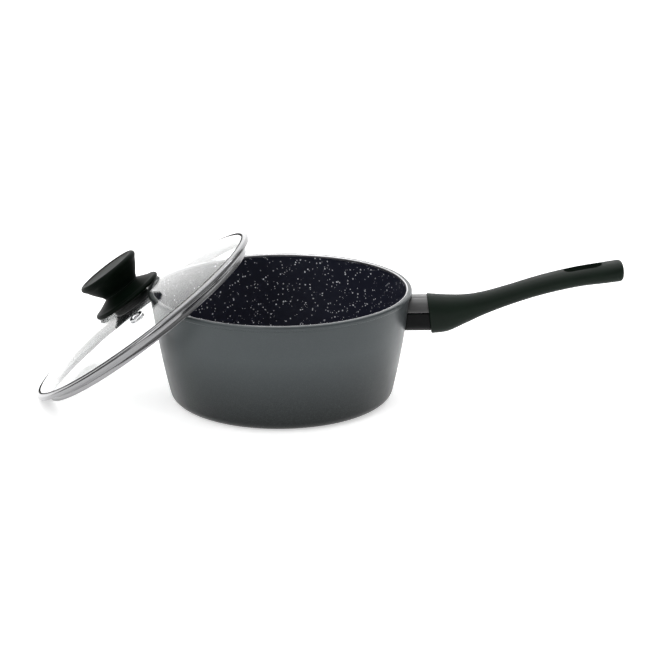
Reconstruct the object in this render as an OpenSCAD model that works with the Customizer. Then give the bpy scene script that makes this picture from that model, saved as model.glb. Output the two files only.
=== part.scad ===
// Saucepan with a lift-off glass lid.
// The lid stands beside the pan: its lower edge is on the table and its glass leans on the rim.
// Origin: centre of the base on the resting surface, +X towards the handle, +Z up.

/* [Pan] */
// Inside diameter of the mouth
mouth_d = 199.2; // [170:0.2:245]
// Height of the pan from the table to the top of the rim
pan_h = 89.5; // [75:0.5:110]
// Width of the bare rim, seen from above
rim_w = 4.4; // [3.8:0.1:6]
// Height of the rim bead
rim_h = 4; // [3.2:0.1:6]
// Rounding of the top edges of the rim
rim_round = 1.4; // [0.8:0.1:1.5]
// Thickness of the wall
wall_t = 2.6; // [2:0.1:3.2]
// Thickness of the floor
floor_t = 4; // [3:0.1:6]
// Diameter of the flat of the base
base_d = 158; // [150:1:164]
// Width of the rounded corner under the wall
corner_w = 10.5; // [8:0.5:13]
// Height of the rounded corner under the wall
corner_h = 9; // [7:0.5:12]
// How far the wall bows out between its corner and its rim
belly = 1.4; // [0:0.1:2.5]

/* [Base plate] */
// Diameter of the steel plate in the base
plate_d = 140; // [110:1:146]
// Thickness of the steel plate
plate_t = 1.2; // [0.8:0.1:2]
// How far the steel plate stands out of the base
plate_stand = 0.5; // [0.3:0.1:0.7]
// Diameter of the holes in the steel plate
plate_hole_d = 5; // [3:0.5:7]
// Distance between two rings of holes
plate_pitch = 18; // [12:1:19]
// Number of rings of holes
plate_rings = 3; // [1:1:3]

/* [Handle] */
// Height of the handle's screw above the table
handle_z = 68.9; // [60:0.5:72]
// Length of the handle, from its front face to its end
handle_l = 152.8; // [125:0.2:185]
// How far the handle rises on its way out
handle_rise = 34.4; // [20:0.1:45]
// Height of the handle at its front face
front_h = 31.4; // [30:0.2:40]
// Width of the handle at its front face
front_w = 30; // [28.5:0.5:40]
// Height of the grip at its thinnest
grip_h = 14.6; // [12:0.2:18]
// Width of the grip at its broadest
grip_w = 26; // [21:0.5:32]
// Lean of the handle's front face from upright
front_lean = 7; // [0:0.5:10]
// Length of the slot for hanging
slot_l = 30; // [20:1:36]
// Width of the slot for hanging
slot_w = 12; // [8:0.5:14]
// Distance from the middle of the slot to the end of the handle
slot_back = 30.7; // [25:0.1:38]

/* [Handle guard] */
// Length of the guard between the wall and the handle
guard_l = 17.2; // [14:0.2:26]
// Height of the guard
guard_h = 28.4; // [27:0.2:32]
// Width of the guard
guard_w = 27; // [26:0.2:30]
// Thickness of the guard's sheet
guard_t = 1.5; // [1:0.1:2]
// Height of the guard's seam above the screw
seam_up = 3; // [0:0.5:5]
// Gap at the guard's seam
seam_gap = 0.8; // [0.3:0.1:1.2]

/* [Handle fastening] */
// Diameter of the handle's screw and of its thread in the stud
screw_d = 5; // [4:0.1:6]
// Distance from the handle's front face to the seat of the screw's head
seat_depth = 22.5; // [18:0.5:26]
// Diameter of the well that the screw goes in by
well_d = 10; // [9.8:0.1:11]
// Diameter of the welded stud
stud_d = 13; // [11:0.5:15]
// Thickness of the stud's welded foot
stud_foot_t = 1.6; // [1:0.1:2.5]
// Diameter of the boss on the front of the handle
boss_d = 18; // [15:0.5:20]
// Length of the boss in front of the handle
boss_l = 5.5; // [3.5:0.5:7]

/* [Lid] */
// Play between the lid's skirt and the mouth, on each side
lid_play = 1; // [0.5:0.1:1.6]
// How far the lid's flange overhangs the pan's rim
lid_over = 2; // [1:0.1:4]
// Rise of the glass above its edge
dome_rise = 17.2; // [14:0.2:21]
// Thickness of the glass
glass_t = 3.2; // [2.8:0.1:4]
// Thickness of the lid's steel band
band_t = 0.5; // [0.4:0.05:0.8]
// Depth of the band's skirt under its flange
skirt_depth = 6.7; // [5:0.1:10]
// Draw of the skirt, inwards from its top to its lower edge
skirt_draw = 0.5; // [0.2:0.1:1]
// Width of steel over the edge of the glass
lip_w = 3; // [2:0.2:5]
// Radius of the flat in the middle of the glass
land_r = 17; // [16.8:0.1:20]

/* [Steam vent] */
// Distance from the middle of the lid to the vent
vent_r = 68; // [50:0.5:80]
// Direction of the vent round the lid, from the side that is high when it leans
vent_dir = -76; // [-180:1:180]
// Outside diameter of the eyelet's flange
eyelet_d = 11.8; // [10:0.2:14]
// Diameter of the hole in the glass for the eyelet
vent_hole_d = 7.6; // [6.4:0.2:8.4]
// Diameter of the steam hole
steam_d = 4.8; // [3:0.2:5.4]
// Thickness of the eyelet's flange and of its backing ring
eyelet_t = 0.9; // [0.6:0.1:1.2]

/* [Knob] */
// Diameter of the knob's top
knob_d = 52.4; // [46:0.2:58]
// Diameter of the knob's waist
waist_d = 30.4; // [29:0.2:36]
// Diameter of the knob's skirt
skirt_d = 59.8; // [52:0.2:68]
// Height of the waist above the glass
waist_up = 9.7; // [9.2:0.1:12]
// Height of the upper part of the knob
cap_h = 18.6; // [15:0.1:26]
// Diameter of the plastic cup under the glass
cup_d = 32; // [26:0.5:33]
// Thickness of the plastic cup under the glass
cup_t = 5; // [4.6:0.1:7]
// Thickness of each gasket
gasket_t = 1; // [0.6:0.1:1.5]
// Diameter of the knob's screw and of its thread
knob_screw_d = 5; // [4:0.1:6]
// Diameter of the hole in the glass for the screw
glass_hole_d = 9; // [7:0.2:10]

/* [Lid pose] */
// Room between the cup's edge and the place where the rim meets the glass
rest_room = 4.413; // [3:0.001:12]
// Turn of the leaning lid round the pan
lid_turn = 4; // [0:0.5:20]
// Gap kept where the lid leans on the rim
lean_gap = 0.35; // [0.2:0.05:1]
// Gap kept between the lid's lower edge and the table
foot_gap = 0.1; // [0:0.05:0.5]

/* [Hidden] */
$fn = 96;
big = 400;

// Pan
rim_in = mouth_d / 2;
rim_out = rim_in + rim_w;
wall_top_r = rim_in + wall_t;
wall_top_z = pan_h - rim_h;
base_z = plate_stand;
corner_end = 76;
inner_round = 1;
rim_under = 1;
holes_in_row = 6;
corner_r_end = base_d / 2 + corner_w * sin(corner_end);
corner_z_end = base_z + corner_h * (1 - cos(corner_end));
wall_steps = 14;
corner_steps = 7;
round_steps = 5;

// Radius of the outside of the wall at the height z, between its corner and its rim
function wall_r(z) =
  let (t = (z - corner_z_end) / (wall_top_z - corner_z_end))
  corner_r_end + (wall_top_r - corner_r_end) * t + belly * 4 * t * (1 - t);

function arc(cx, cy, rx, ry, from, to, steps) =
  [for (i = [0 : steps])
    let (a = from + (to - from) * i / steps)
    [cx + rx * cos(a), cy + ry * sin(a)]];

// Outline of the wall from the base to the rim, moved in by inset and up by lift at the base
function wall_outline(inset, lift) = concat(
  arc(base_d / 2, base_z + corner_h + lift, corner_w - inset, corner_h,
    -90, corner_end - 90, corner_steps),
  [for (i = [1 : wall_steps])
    let (z = corner_z_end + (wall_top_z - corner_z_end) * i / wall_steps)
    [wall_r(z) - inset, z + lift * (1 - i / wall_steps)]]);

function reverse(list) = [for (i = [len(list) - 1 : -1 : 0]) list[i]];

// Handle
handle_x = wall_r(handle_z) + guard_l;
shank_r = screw_d / 2;
stud_end = handle_x - boss_l;
seat_x = handle_x + seat_depth;
washer_t = 1.2;
washer_r = 4.6;
head_r = 4.5;
head_h = 3.2;
shank_play = 0.3;
thread_start = 2;
shank_tip = wall_r(handle_z) + thread_start;
recess_w = 1.2;
recess_h = 1.6;
recess_reach = 0.6;
boss_root = 8;
guard_sides = 48;
guard_power = 2.5;
front_drop = -0.7;

// Stations of the handle: share of the length, share of the rise, half height, half width
stations = [
  [0, 0, front_h / 2, front_w / 2],
  [0.093, 0.01, front_h / 2 - 1.4, front_w / 2 - 0.8],
  [0.193, 0.11, front_h / 2 - 4.65, front_w / 2 - 2.7],
  [0.291, 0.25, grip_h / 2 + 1.5, grip_w / 2 - 2],
  [0.413, 0.435, grip_h / 2 + 0.4, grip_w / 2 - 2],
  [0.536, 0.614, grip_h / 2 + 0.1, grip_w / 2 - 1.5],
  [0.658, 0.761, grip_h / 2, grip_w / 2 - 0.8],
  [0.78, 0.876, grip_h / 2, grip_w / 2 - 0.2],
  [0.902, 0.954, grip_h / 2 + 0.4, grip_w / 2],
  [0.972, 1, grip_h / 2 + 0.7, grip_w / 2 - 0.4]];
handle_power = 2.4;
handle_sides = 32;
handle_sub = 4;
end_round = 3;
end_steps = 5;

// Smooth curve through the stations, at the position u of the span i
function station(i) = stations[max(0, min(len(stations) - 1, i))];
function smooth(i, u) =
  let (a = station(i - 1), b = station(i), c = station(i + 1), d = station(i + 2))
  0.5 * ((2 * b) + (c - a) * u + (2 * a - 5 * b + 4 * c - d) * pow(u, 2)
    + (3 * b - a - 3 * c + d) * pow(u, 3));
rows = concat(
  [for (i = [0 : len(stations) - 2], j = [0 : handle_sub - 1]) smooth(i, j / handle_sub)],
  [station(len(stations) - 1)]);
function signed_pow(v, p) = sign(v) * pow(abs(v), p);
lean_reach = 0.3;
function lean_share(u) = pow(max(0, 1 - u / lean_reach), 2);

// One ring of the handle: x, height of its middle, half height, half width, lean of the ring
function ring(x, z, a, b, slope) =
  [for (k = [0 : handle_sides - 1])
    let (t = 360 * k / handle_sides)
    let (up = a * signed_pow(sin(t), 2 / handle_power))
    let (side = b * signed_pow(cos(t), 2 / handle_power))
    [x - slope * (z + up - handle_z), side, z + up]];
body_rings = [for (r = rows)
  ring(handle_x + r[0] * handle_l, handle_z + front_drop + r[1] * handle_rise, r[2], r[3],
    tan(front_lean) * lean_share(r[0]))];
last_row = rows[len(rows) - 1];
last_x = handle_x + last_row[0] * handle_l;
end_bulge = handle_x + handle_l - last_x;
end_rings = [for (i = [1 : end_steps])
  let (t = 90 * i / (end_steps + 1))
  let (shrink = end_round * (1 - cos(t)) / cos(t / 2))
  ring(last_x + end_bulge * sin(t), handle_z + front_drop + last_row[1] * handle_rise,
    last_row[2] - shrink, last_row[3] - shrink, 0)];
handle_rings = concat(body_rings, end_rings);

// Slot
slot_x = handle_x + handle_l - slot_back;
slot_u = (slot_x - handle_x) / handle_l;
slot_i = max([for (i = [0 : len(rows) - 2]) rows[i][0] <= slot_u ? i : 0]);
slot_row = rows[slot_i];
slot_next = rows[slot_i + 1];
slot_tilt = atan((slot_next[1] - slot_row[1]) * handle_rise / ((slot_next[0] - slot_row[0]) * handle_l));
slot_z = handle_z + front_drop + handle_rise
  * (slot_row[1] + (slot_next[1] - slot_row[1]) * (slot_u - slot_row[0]) / (slot_next[0] - slot_row[0]));

// Lid, in its own frame: the flange lies at the height 0 and +Z is up through the knob
flange_r = rim_out + lid_over;
glass_room = 1.3;
glass_r = flange_r - band_t - glass_room;
glass_edge_top = -0.6;
seat_h = -3.1;
web_h = seat_h - band_t;
skirt_top_r = rim_in - lid_play;
skirt_low_r = skirt_top_r - skirt_draw;
skirt_low_h = web_h - skirt_depth;
dome_top = glass_edge_top + dome_rise;
dome_k = (pow(dome_top, 2) + pow(land_r, 2) - pow(glass_edge_top, 2) - pow(glass_r, 2))
  / (2 * dome_rise);
dome_R = norm([dome_top - dome_k, land_r]);
under_R = dome_R - glass_t;
under_top = dome_k + sqrt(pow(under_R, 2) - pow(land_r, 2));
function dome_h(r) = dome_k + sqrt(pow(dome_R, 2) - pow(r, 2));
function under_h(r) = dome_k + sqrt(pow(under_R, 2) - pow(r, 2));
seat_in_r = sqrt(pow(under_R, 2) - pow(seat_h - dome_k, 2));
dome_steps = 18;
function dome_radii(edge) =
  [for (i = [0 : dome_steps]) land_r + (edge - land_r) * i / dome_steps];
lip_in_r = glass_r - lip_w;
lip_gap = 0.05;
roll_top = glass_edge_top + lip_gap + band_t;
roll_h = -1.75;
roll_low = 0.8;
hem_w = 1.1;

// Vent
vent_angle = asin(vent_r / dome_R);
function sphere_drop(ball_r, r) = ball_r - sqrt(pow(ball_r, 2) - pow(r, 2));
chord_drop = 0.01;
eyelet_sink = sphere_drop(dome_R, vent_hole_d / 2);
eyelet_top = eyelet_t - eyelet_sink;
eyelet_bevel_out = 0.6;
eyelet_bevel_in = 0.5;
eyelet_lip = 0.8;
eyelet_lip_t = 0.5;
ring_top = -glass_t - sphere_drop(under_R, eyelet_d / 2) - chord_drop;
ring_low = ring_top - eyelet_t;

// Knob, from the glass up and down
gasket_r = 13.5;
boss_h = dome_top + gasket_t;
waist_h = dome_top + waist_up;
cap_top = waist_h + cap_h;
spigot_r = 7;
spigot_play = 0.05;
spigot_lift = 1.5;
spigot_low = boss_h + spigot_lift;
insert_r = 4;
insert_rise = 6;
insert_top = waist_h + insert_rise;
knob_r = knob_d / 2;
waist_r = waist_d / 2;
skirt_r = skirt_d / 2;
edge_r = 1.9;
foot_gap_h = 0.25;
foot_h = dome_h(skirt_r - edge_r) + foot_gap_h;
skirt_flare = skirt_r - waist_r;
skirt_fall = waist_h - foot_h - 2 * edge_r;
cap_round = 2.6;
cap_steps = 8;
cap_turn = -35;
cap_foot_out = 0.6;
cap_foot_h = 1.2;
dish = 0.9;
dish_edge_w = 3.4;
dish_edge_drop = 0.2;
dish_slope = 1;
seam_step = 0.3;
skirt_steps = 9;
skirt_turn = 70;
flare_mid = [0.29, 0.46];
flare_low = [0.7, 0.88];
hollow_foot = 0.6;
hollow_top = 0.85;
hollow_w = 2.5;
neck_h = 1.4;
cup_round = 1.5;
cup_top = under_top - gasket_t;
cup_low = cup_top - cup_t;
cup_well_r = 7;
cup_well_h = 3.8;
cup_seat = cup_low + cup_well_h;
cup_washer_t = 1;
cup_washer_r = 6.4;
knob_head_r = 4.6;
knob_head_h = 2.6;
thread_room = 1.5;
knob_shank_top = insert_top - thread_room;

// Lean of the lid: with its skirt on the table and the rim against its glass outside the cup, a
// taller pan makes it steeper and a wider lid makes it flatter
lean_run = skirt_low_r + cup_d / 2 + rest_room;
lean_rise = under_top - skirt_low_h;
lid_lean = asin((pan_h - foot_gap) / norm([lean_run, lean_rise])) - atan(lean_rise / lean_run);

// Pose of the leaning lid: distance from the pan's axis at which the glass meets the rim,
// or at which the skirt meets the rim beside it, whichever comes first
lid_z = foot_gap + max(skirt_low_r * sin(lid_lean) - skirt_low_h * cos(lid_lean),
  flange_r * sin(lid_lean) - (web_h + band_t) * cos(lid_lean));
lip_r = rim_out - rim_round;
lip_z = pan_h - rim_round;
lip_reach = rim_round + lean_gap;
glass_lean = -dome_k * sin(lid_lean) + lip_r
  - sqrt(pow(under_R - lip_reach, 2) - pow(lip_z - lid_z - dome_k * cos(lid_lean), 2));
function skirt_lean(a) =
  let (z = lid_z + skirt_low_r * cos(a) * sin(lid_lean) + skirt_low_h * cos(lid_lean))
  let (side = skirt_low_r * sin(a))
  let (over = max(0, z - lip_z))
  let (reach = lip_r + sqrt(max(0, pow(lip_reach, 2) - pow(over, 2))))
  over >= lip_reach || side >= reach ? 0
    : skirt_low_r * cos(a) * cos(lid_lean) - skirt_low_h * sin(lid_lean) + sqrt(pow(reach, 2) - pow(side, 2));
lid_d = max(glass_lean, max([for (a = [0 : 1 : 180]) skirt_lean(a)]));

module lid_pose() {
  rotate([0, 0, -lid_turn]) translate([-lid_d, 0, lid_z]) rotate([0, -lid_lean, 0]) children();
}

module at_vent() {
  rotate([0, 0, vent_dir]) translate([0, 0, dome_k]) rotate([0, vent_angle, 0])
    translate([0, 0, dome_R]) children();
}

// A bar along the handle's screw, from x0 to x1
module along_screw(x0, x1, r) {
  translate([x0, 0, handle_z]) rotate([0, 90, 0]) cylinder(r = r, h = x1 - x0);
}

module disc(r, low, top, hole = 0) {
  translate([0, 0, low]) difference() {
    cylinder(r = r, h = top - low);
    if (hole > 0) translate([0, 0, -1]) cylinder(r = hole, h = top - low + 2);
  }
}

// Everything inside the outside of the wall, for what is welded to it or sits against it
module pan_outside() {
  rotate_extrude() polygon(concat([[0, base_z]], wall_outline(0, 0), [[0, wall_top_z]]));
}

module pan_body() color("dimgray") {
  difference() {
    rotate_extrude() polygon(concat(
      [[0, base_z]],
      wall_outline(0, 0),
      [[rim_out - rim_under, wall_top_z], [rim_out, wall_top_z + rim_under]],
      arc(rim_out - rim_round, pan_h - rim_round, rim_round, rim_round, 0, 90, round_steps),
      arc(rim_in + inner_round, pan_h - inner_round, inner_round, inner_round, 90, 180, round_steps),
      reverse(wall_outline(wall_t, floor_t)),
      [[0, base_z + floor_t]]));
    disc(plate_d / 2, -1, plate_t);
  }
}

module base_plate() color("silver") {
  difference() {
    disc(plate_d / 2, 0, plate_t);
    translate([0, 0, -1]) {
      cylinder(d = plate_hole_d, h = plate_t + 2);
      for (row = [1 : plate_rings], i = [0 : holes_in_row * row - 1])
        rotate([0, 0, 360 * i / (holes_in_row * row)]) translate([row * plate_pitch, 0, 0])
          cylinder(d = plate_hole_d, h = plate_t + 2);
    }
  }
}

module handle_stud() color("lightgray") {
  difference() {
    union() {
      along_screw(0, stud_end, stud_d / 2);
      along_screw(0, wall_r(handle_z) + stud_foot_t, stud_d / 2 + stud_foot_t);
    }
    pan_outside();
    along_screw(shank_tip, stud_end + 1, shank_r);
  }
}

// Rounded outline of the guard, as high as h and as wide as w
module guard_outline(h, w) {
  polygon([for (k = [0 : guard_sides - 1])
    let (t = 360 * k / guard_sides)
    [w / 2 * signed_pow(cos(t), 2 / guard_power), h / 2 * signed_pow(sin(t), 2 / guard_power)]]);
}

// The part of the guard's tube between two heights above the screw
module guard_shell(low, high) {
  difference() {
    intersection() {
      translate([0, 0, handle_z]) rotate([90, 0, 90]) linear_extrude(handle_x + guard_h) difference() {
        guard_outline(guard_h, guard_w);
        guard_outline(guard_h - 2 * guard_t, guard_w - 2 * guard_t);
      }
      translate([0, -guard_w, handle_z + low]) cube([big, 2 * guard_w, high - low]);
    }
    translate([handle_x, 0, handle_z]) rotate([0, -front_lean, 0])
      translate([0, -big / 2, -big / 2]) cube(big);
    pan_outside();
  }
}

module guard_upper() color("gray") guard_shell(seam_up + seam_gap / 2, guard_h);

module guard_lower() color("dimgray") guard_shell(-guard_h, seam_up - seam_gap / 2);

// Faces of a closed body through rings of points
module loft(rings) {
  sides = len(rings[0]);
  last = (len(rings) - 1) * sides;
  polyhedron(
    points = [for (r = rings) each r],
    faces = concat(
      [[for (k = [0 : sides - 1]) k]],
      [for (i = [0 : len(rings) - 2], k = [0 : sides - 1], half = [0, 1])
        let (a = i * sides + k, b = i * sides + (k + 1) % sides)
        half == 0 ? [a, a + sides, b] : [b, a + sides, b + sides]],
      [[for (k = [sides - 1 : -1 : 0]) last + k]]));
}

module slot_cut() {
  translate([slot_x, 0, slot_z]) rotate([0, -slot_tilt, 0]) translate([0, 0, -grip_h]) {
    for (side = [-1, 1]) translate([side * (slot_l - slot_w) / 2, 0, 0])
      cylinder(d = slot_w, h = 2 * grip_h);
    translate([(slot_w - slot_l) / 2, -slot_w / 2, 0]) cube([slot_l - slot_w, slot_w, 2 * grip_h]);
  }
}

module handle() color([0.14, 0.16, 0.15]) {
  difference() {
    union() {
      loft(handle_rings);
      along_screw(stud_end, handle_x + boss_root, boss_d / 2);
    }
    along_screw(stud_end - 1, seat_x + 1, shank_r + shank_play);
    along_screw(seat_x, seat_x + handle_l / 2, well_d / 2);
    slot_cut();
  }
}

module handle_washer() color("silver") {
  difference() {
    along_screw(seat_x, seat_x + washer_t, washer_r);
    along_screw(seat_x - 1, seat_x + washer_t + 1, shank_r);
  }
}

module handle_screw() color("silver") {
  difference() {
    union() {
      along_screw(shank_tip, seat_x + washer_t, shank_r);
      along_screw(seat_x + washer_t, seat_x + washer_t + head_h, head_r);
    }
    translate([seat_x + washer_t + head_h - recess_h, 0, handle_z]) rotate([0, 90, 0]) recess(head_r);
  }
}

// Cross recess for a driver, from the height 0 up
module recess(r) {
  for (turn = [0, 90]) rotate([0, 0, turn]) translate([-r * recess_reach, -recess_w / 2, 0])
    cube([2 * r * recess_reach, recess_w, recess_h + 1]);
}

module lid_glass() color([0.8, 0.85, 0.85, 0.4]) lid_pose() {
  difference() {
    rotate_extrude() polygon(concat(
      [[0, dome_top]],
      [for (r = dome_radii(glass_r)) [r, dome_h(r)]],
      [[glass_r, seat_h]],
      reverse([for (r = dome_radii(seat_in_r)) [r, under_h(r)]]),
      [[0, under_top]]));
    disc(glass_hole_d / 2, under_top - 1, dome_top + 1);
    at_vent() disc(vent_hole_d / 2, -glass_t - 2, 2);
  }
}

module lid_band() color("silver") lid_pose() {
  rotate_extrude() polygon(concat(
    [[lip_in_r, dome_h(lip_in_r) + lip_gap], [lip_in_r, dome_h(lip_in_r) + lip_gap + band_t]],
    arc(glass_r, roll_h, flange_r - glass_r, roll_top - roll_h, 90, 0, round_steps),
    arc(flange_r - roll_low, web_h + roll_low, roll_low, roll_low, 0, -90, round_steps),
    [[skirt_top_r, web_h],
      [skirt_low_r, skirt_low_h],
      [skirt_low_r - hem_w, skirt_low_h],
      [skirt_low_r - hem_w, skirt_low_h + band_t],
      [skirt_low_r - band_t, skirt_low_h + band_t],
      [skirt_top_r - band_t, seat_h]],
    arc(flange_r - roll_low, web_h + roll_low, roll_low - band_t, roll_low - band_t, -90, 0, round_steps),
    arc(glass_r, roll_h, flange_r - glass_r - band_t, roll_top - roll_h - band_t, 0, 90, round_steps)));
}

module vent_eyelet() color("silver") lid_pose() at_vent() {
  rotate_extrude() polygon([
    [steam_d / 2 + eyelet_bevel_in, eyelet_top],
    [eyelet_d / 2 - eyelet_bevel_out, eyelet_top],
    [eyelet_d / 2, eyelet_t / 2],
    [eyelet_d / 2, -eyelet_sink],
    [vent_hole_d / 2, -eyelet_sink],
    [vent_hole_d / 2, ring_low],
    [vent_hole_d / 2 + eyelet_lip, ring_low],
    [vent_hole_d / 2 + eyelet_lip, ring_low - eyelet_lip_t],
    [steam_d / 2, ring_low - eyelet_lip_t],
    [steam_d / 2, eyelet_t / 2]]);
}

module vent_ring() color("silver") lid_pose() at_vent() {
  disc(eyelet_d / 2, ring_low, ring_top, vent_hole_d / 2);
}

module knob_cap() color([0.12, 0.13, 0.12]) lid_pose() {
  rotate_extrude() polygon(concat(
    [[0, cap_top - dish],
      [knob_r - dish_edge_w - dish_slope, cap_top - dish],
      [knob_r - dish_edge_w, cap_top - dish_edge_drop]],
    arc(knob_r - cap_round, cap_top - cap_round, cap_round, cap_round, 90, cap_turn, cap_steps),
    [[waist_r + cap_foot_out, waist_h + cap_foot_h],
      [waist_r - seam_step, waist_h],
      [spigot_r, waist_h],
      [spigot_r, spigot_low],
      [insert_r, spigot_low],
      [insert_r, insert_top],
      [0, insert_top]]));
}

module knob_skirt() color([0.12, 0.13, 0.12]) lid_pose() {
  rotate_extrude() polygon(concat(
    [[spigot_r + spigot_play, waist_h],
      [waist_r, waist_h],
      [waist_r + flare_mid[0] * skirt_flare, waist_h - flare_mid[1] * skirt_fall],
      [waist_r + flare_low[0] * skirt_flare, waist_h - flare_low[1] * skirt_fall]],
    arc(skirt_r - edge_r, foot_h + edge_r, edge_r, edge_r, skirt_turn, -90, skirt_steps),
    [[skirt_r - 2 * edge_r, foot_h + hollow_foot * edge_r],
      [gasket_r + hollow_w, waist_h - hollow_top * skirt_fall],
      [gasket_r, boss_h + neck_h],
      [gasket_r, boss_h],
      [spigot_r + spigot_play, boss_h]]));
}

module knob_insert() color("goldenrod") lid_pose() {
  disc(insert_r, spigot_low, insert_top, knob_screw_d / 2);
}

module knob_gasket() color([0.2, 0.2, 0.2]) lid_pose() {
  disc(gasket_r, dome_top, boss_h, glass_hole_d / 2);
}

module cup_gasket() color([0.2, 0.2, 0.2]) lid_pose() {
  disc(gasket_r, cup_top, under_top, knob_screw_d / 2 + shank_play);
}

module cup() color([0.12, 0.13, 0.12]) lid_pose() {
  difference() {
    rotate_extrude() polygon(concat(
      [[0, cup_low]],
      arc(cup_d / 2 - cup_round, cup_low + cup_round, cup_round, cup_round, -90, 0, round_steps),
      [[cup_d / 2, cup_top], [0, cup_top]]));
    disc(cup_well_r, cup_low - 1, cup_seat);
    disc(knob_screw_d / 2 + shank_play, cup_seat - 1, cup_top + 1);
  }
}

module cup_washer() color("silver") lid_pose() {
  disc(cup_washer_r, cup_seat - cup_washer_t, cup_seat, knob_screw_d / 2);
}

module knob_screw() color("silver") lid_pose() {
  head_top = cup_seat - cup_washer_t;
  difference() {
    union() {
      disc(knob_head_r, head_top - knob_head_h, head_top);
      disc(knob_screw_d / 2, head_top - 1, knob_shank_top);
    }
    translate([0, 0, head_top - knob_head_h + recess_h]) mirror([0, 0, 1]) recess(knob_head_r);
  }
}

pan_body();
base_plate();
handle_stud();
guard_upper();
guard_lower();
handle();
handle_screw();
handle_washer();
lid_glass();
lid_band();
vent_eyelet();
vent_ring();
knob_cap();
knob_skirt();
knob_insert();
knob_gasket();
cup_gasket();
cup();
cup_washer();
knob_screw();
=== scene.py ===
# %% [markdown]
# # A saucepan with a glass lid, dressed for the studio
# The engineering model gives every piece its place and its size. This script gives the pieces
# their fine shapes and their finishes. It starts by loading that model as a frame that never moves.

# %% Load the frame
import math

import bmesh
import bpy
import numpy as np
from mathutils import Matrix, Vector


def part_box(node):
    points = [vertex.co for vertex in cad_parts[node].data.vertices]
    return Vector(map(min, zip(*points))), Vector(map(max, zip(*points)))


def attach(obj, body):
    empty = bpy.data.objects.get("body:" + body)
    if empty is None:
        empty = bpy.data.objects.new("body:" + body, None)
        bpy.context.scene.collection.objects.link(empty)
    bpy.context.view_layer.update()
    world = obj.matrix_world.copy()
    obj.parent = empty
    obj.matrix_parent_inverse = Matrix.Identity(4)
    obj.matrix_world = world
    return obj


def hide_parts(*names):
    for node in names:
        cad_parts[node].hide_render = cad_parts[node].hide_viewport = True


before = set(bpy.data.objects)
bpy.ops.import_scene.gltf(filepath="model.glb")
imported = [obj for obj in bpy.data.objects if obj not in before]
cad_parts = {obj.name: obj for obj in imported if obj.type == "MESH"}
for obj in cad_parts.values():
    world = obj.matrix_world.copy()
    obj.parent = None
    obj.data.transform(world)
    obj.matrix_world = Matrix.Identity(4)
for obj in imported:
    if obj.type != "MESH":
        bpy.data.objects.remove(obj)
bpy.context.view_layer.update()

MM = 0.001


# %% [markdown]
# ## Measures
# Most of this object is turned or pressed, so it is round about one of two axes: the pan's own, which
# is the world's Z, and the lid's, which leans by a known angle. The lid's place comes from the frame:
# the threaded insert in the knob sits on the lid's axis, at a known height above the flange.

# %% Axes and sizes from the frame
def box_middle(name):
    """The middle of a node's box. On a round node it lies on the node's axis."""
    low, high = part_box(name)
    return (Vector(low) + Vector(high)) / 2


lid_lean, lid_turn = math.radians(36.4), math.radians(4)
lid_turned = Matrix.Rotation(-lid_turn, 4, "Z") @ Matrix.Rotation(-lid_lean, 4, "Y")
insert_height = 25.7 * MM
lid_middle = box_middle("knob_insert") - (lid_turned @ Vector((0, 0, insert_height)))
LID = Matrix.Translation(lid_middle) @ lid_turned
PAN = Matrix.Identity(4)

pan_low, pan_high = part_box("pan_body")
rim_out = -pan_low[1]
pan_h = pan_high[2]
print("lid middle", [round(v, 5) for v in lid_middle], "rim radius", round(rim_out, 5))


# %% [markdown]
# ## Camera
# A long lens looks down on the pan from the front, a little above the rim, as one does at a table.

# %% Camera
camera_data = bpy.data.cameras.new("camera")
camera_data.lens = 113.0
camera_data.sensor_width = 36.0
camera = bpy.data.objects.new("camera", camera_data)
bpy.context.scene.collection.objects.link(camera)
bpy.context.scene.camera = camera
camera_target = Vector((38.9, 0, 54.3)) * MM
camera_distance = 1651.5 * MM
camera_height = math.radians(17.67)
camera_roll = math.radians(-0.243)
back = Vector((0, -math.cos(camera_height), math.sin(camera_height)))
camera.location = camera_target + back * camera_distance
look = (-back).to_track_quat("-Z", "Y").to_matrix().to_4x4()
camera.matrix_world = Matrix.Translation(camera.location) @ look @ Matrix.Rotation(camera_roll, 4, "Z")
camera_data.clip_start = 0.05
camera_data.clip_end = 30
print("camera at", [round(v, 4) for v in camera.location])


# %% [markdown]
# ## Helpers for turned and swept shapes
# A turned piece is an outline spun about an axis. The outline is a closed loop of (radius, height)
# pairs, with fine arcs where the metal or the moulding is rounded, because a rounded edge is what
# catches the light. Flat faces and true corners are kept sharp by the angle between their faces.

# %% Outline and lathe helpers
def arc(cx, cy, rx, ry, start, end, steps):
    """Points along an ellipse's arc, with angles in degrees."""
    turns = np.radians(np.linspace(start, end, steps + 1))
    return [(cx + rx * math.cos(t), cy + ry * math.sin(t)) for t in turns]


def through(points, steps=6):
    """A smooth line through a few points, the ends included."""
    p = [np.array(q, float) for q in points]
    p = [2 * p[0] - p[1], *p, 2 * p[-1] - p[-2]]
    line = []
    for i in range(1, len(p) - 2):
        a, b, c, d = p[i - 1 : i + 3]
        for u in np.linspace(0, 1, steps, endpoint=False):
            line.append(tuple(0.5 * (2 * b + (c - a) * u + (2 * a - 5 * b + 4 * c - d) * u * u
                                     + (3 * b - a - 3 * c + d) * u ** 3)))
    return [*line, tuple(p[-2])]


def piece_from(name, mesh, sharp=35):
    """A smooth-shaded object in the scene, with edges kept sharp above an angle in degrees."""
    mesh.update()
    mesh.polygons.foreach_set("use_smooth", [True] * len(mesh.polygons))
    mesh.set_sharp_from_angle(angle=math.radians(sharp))
    piece = bpy.data.objects.new(name, mesh)
    bpy.context.scene.collection.objects.link(piece)
    return piece


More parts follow.
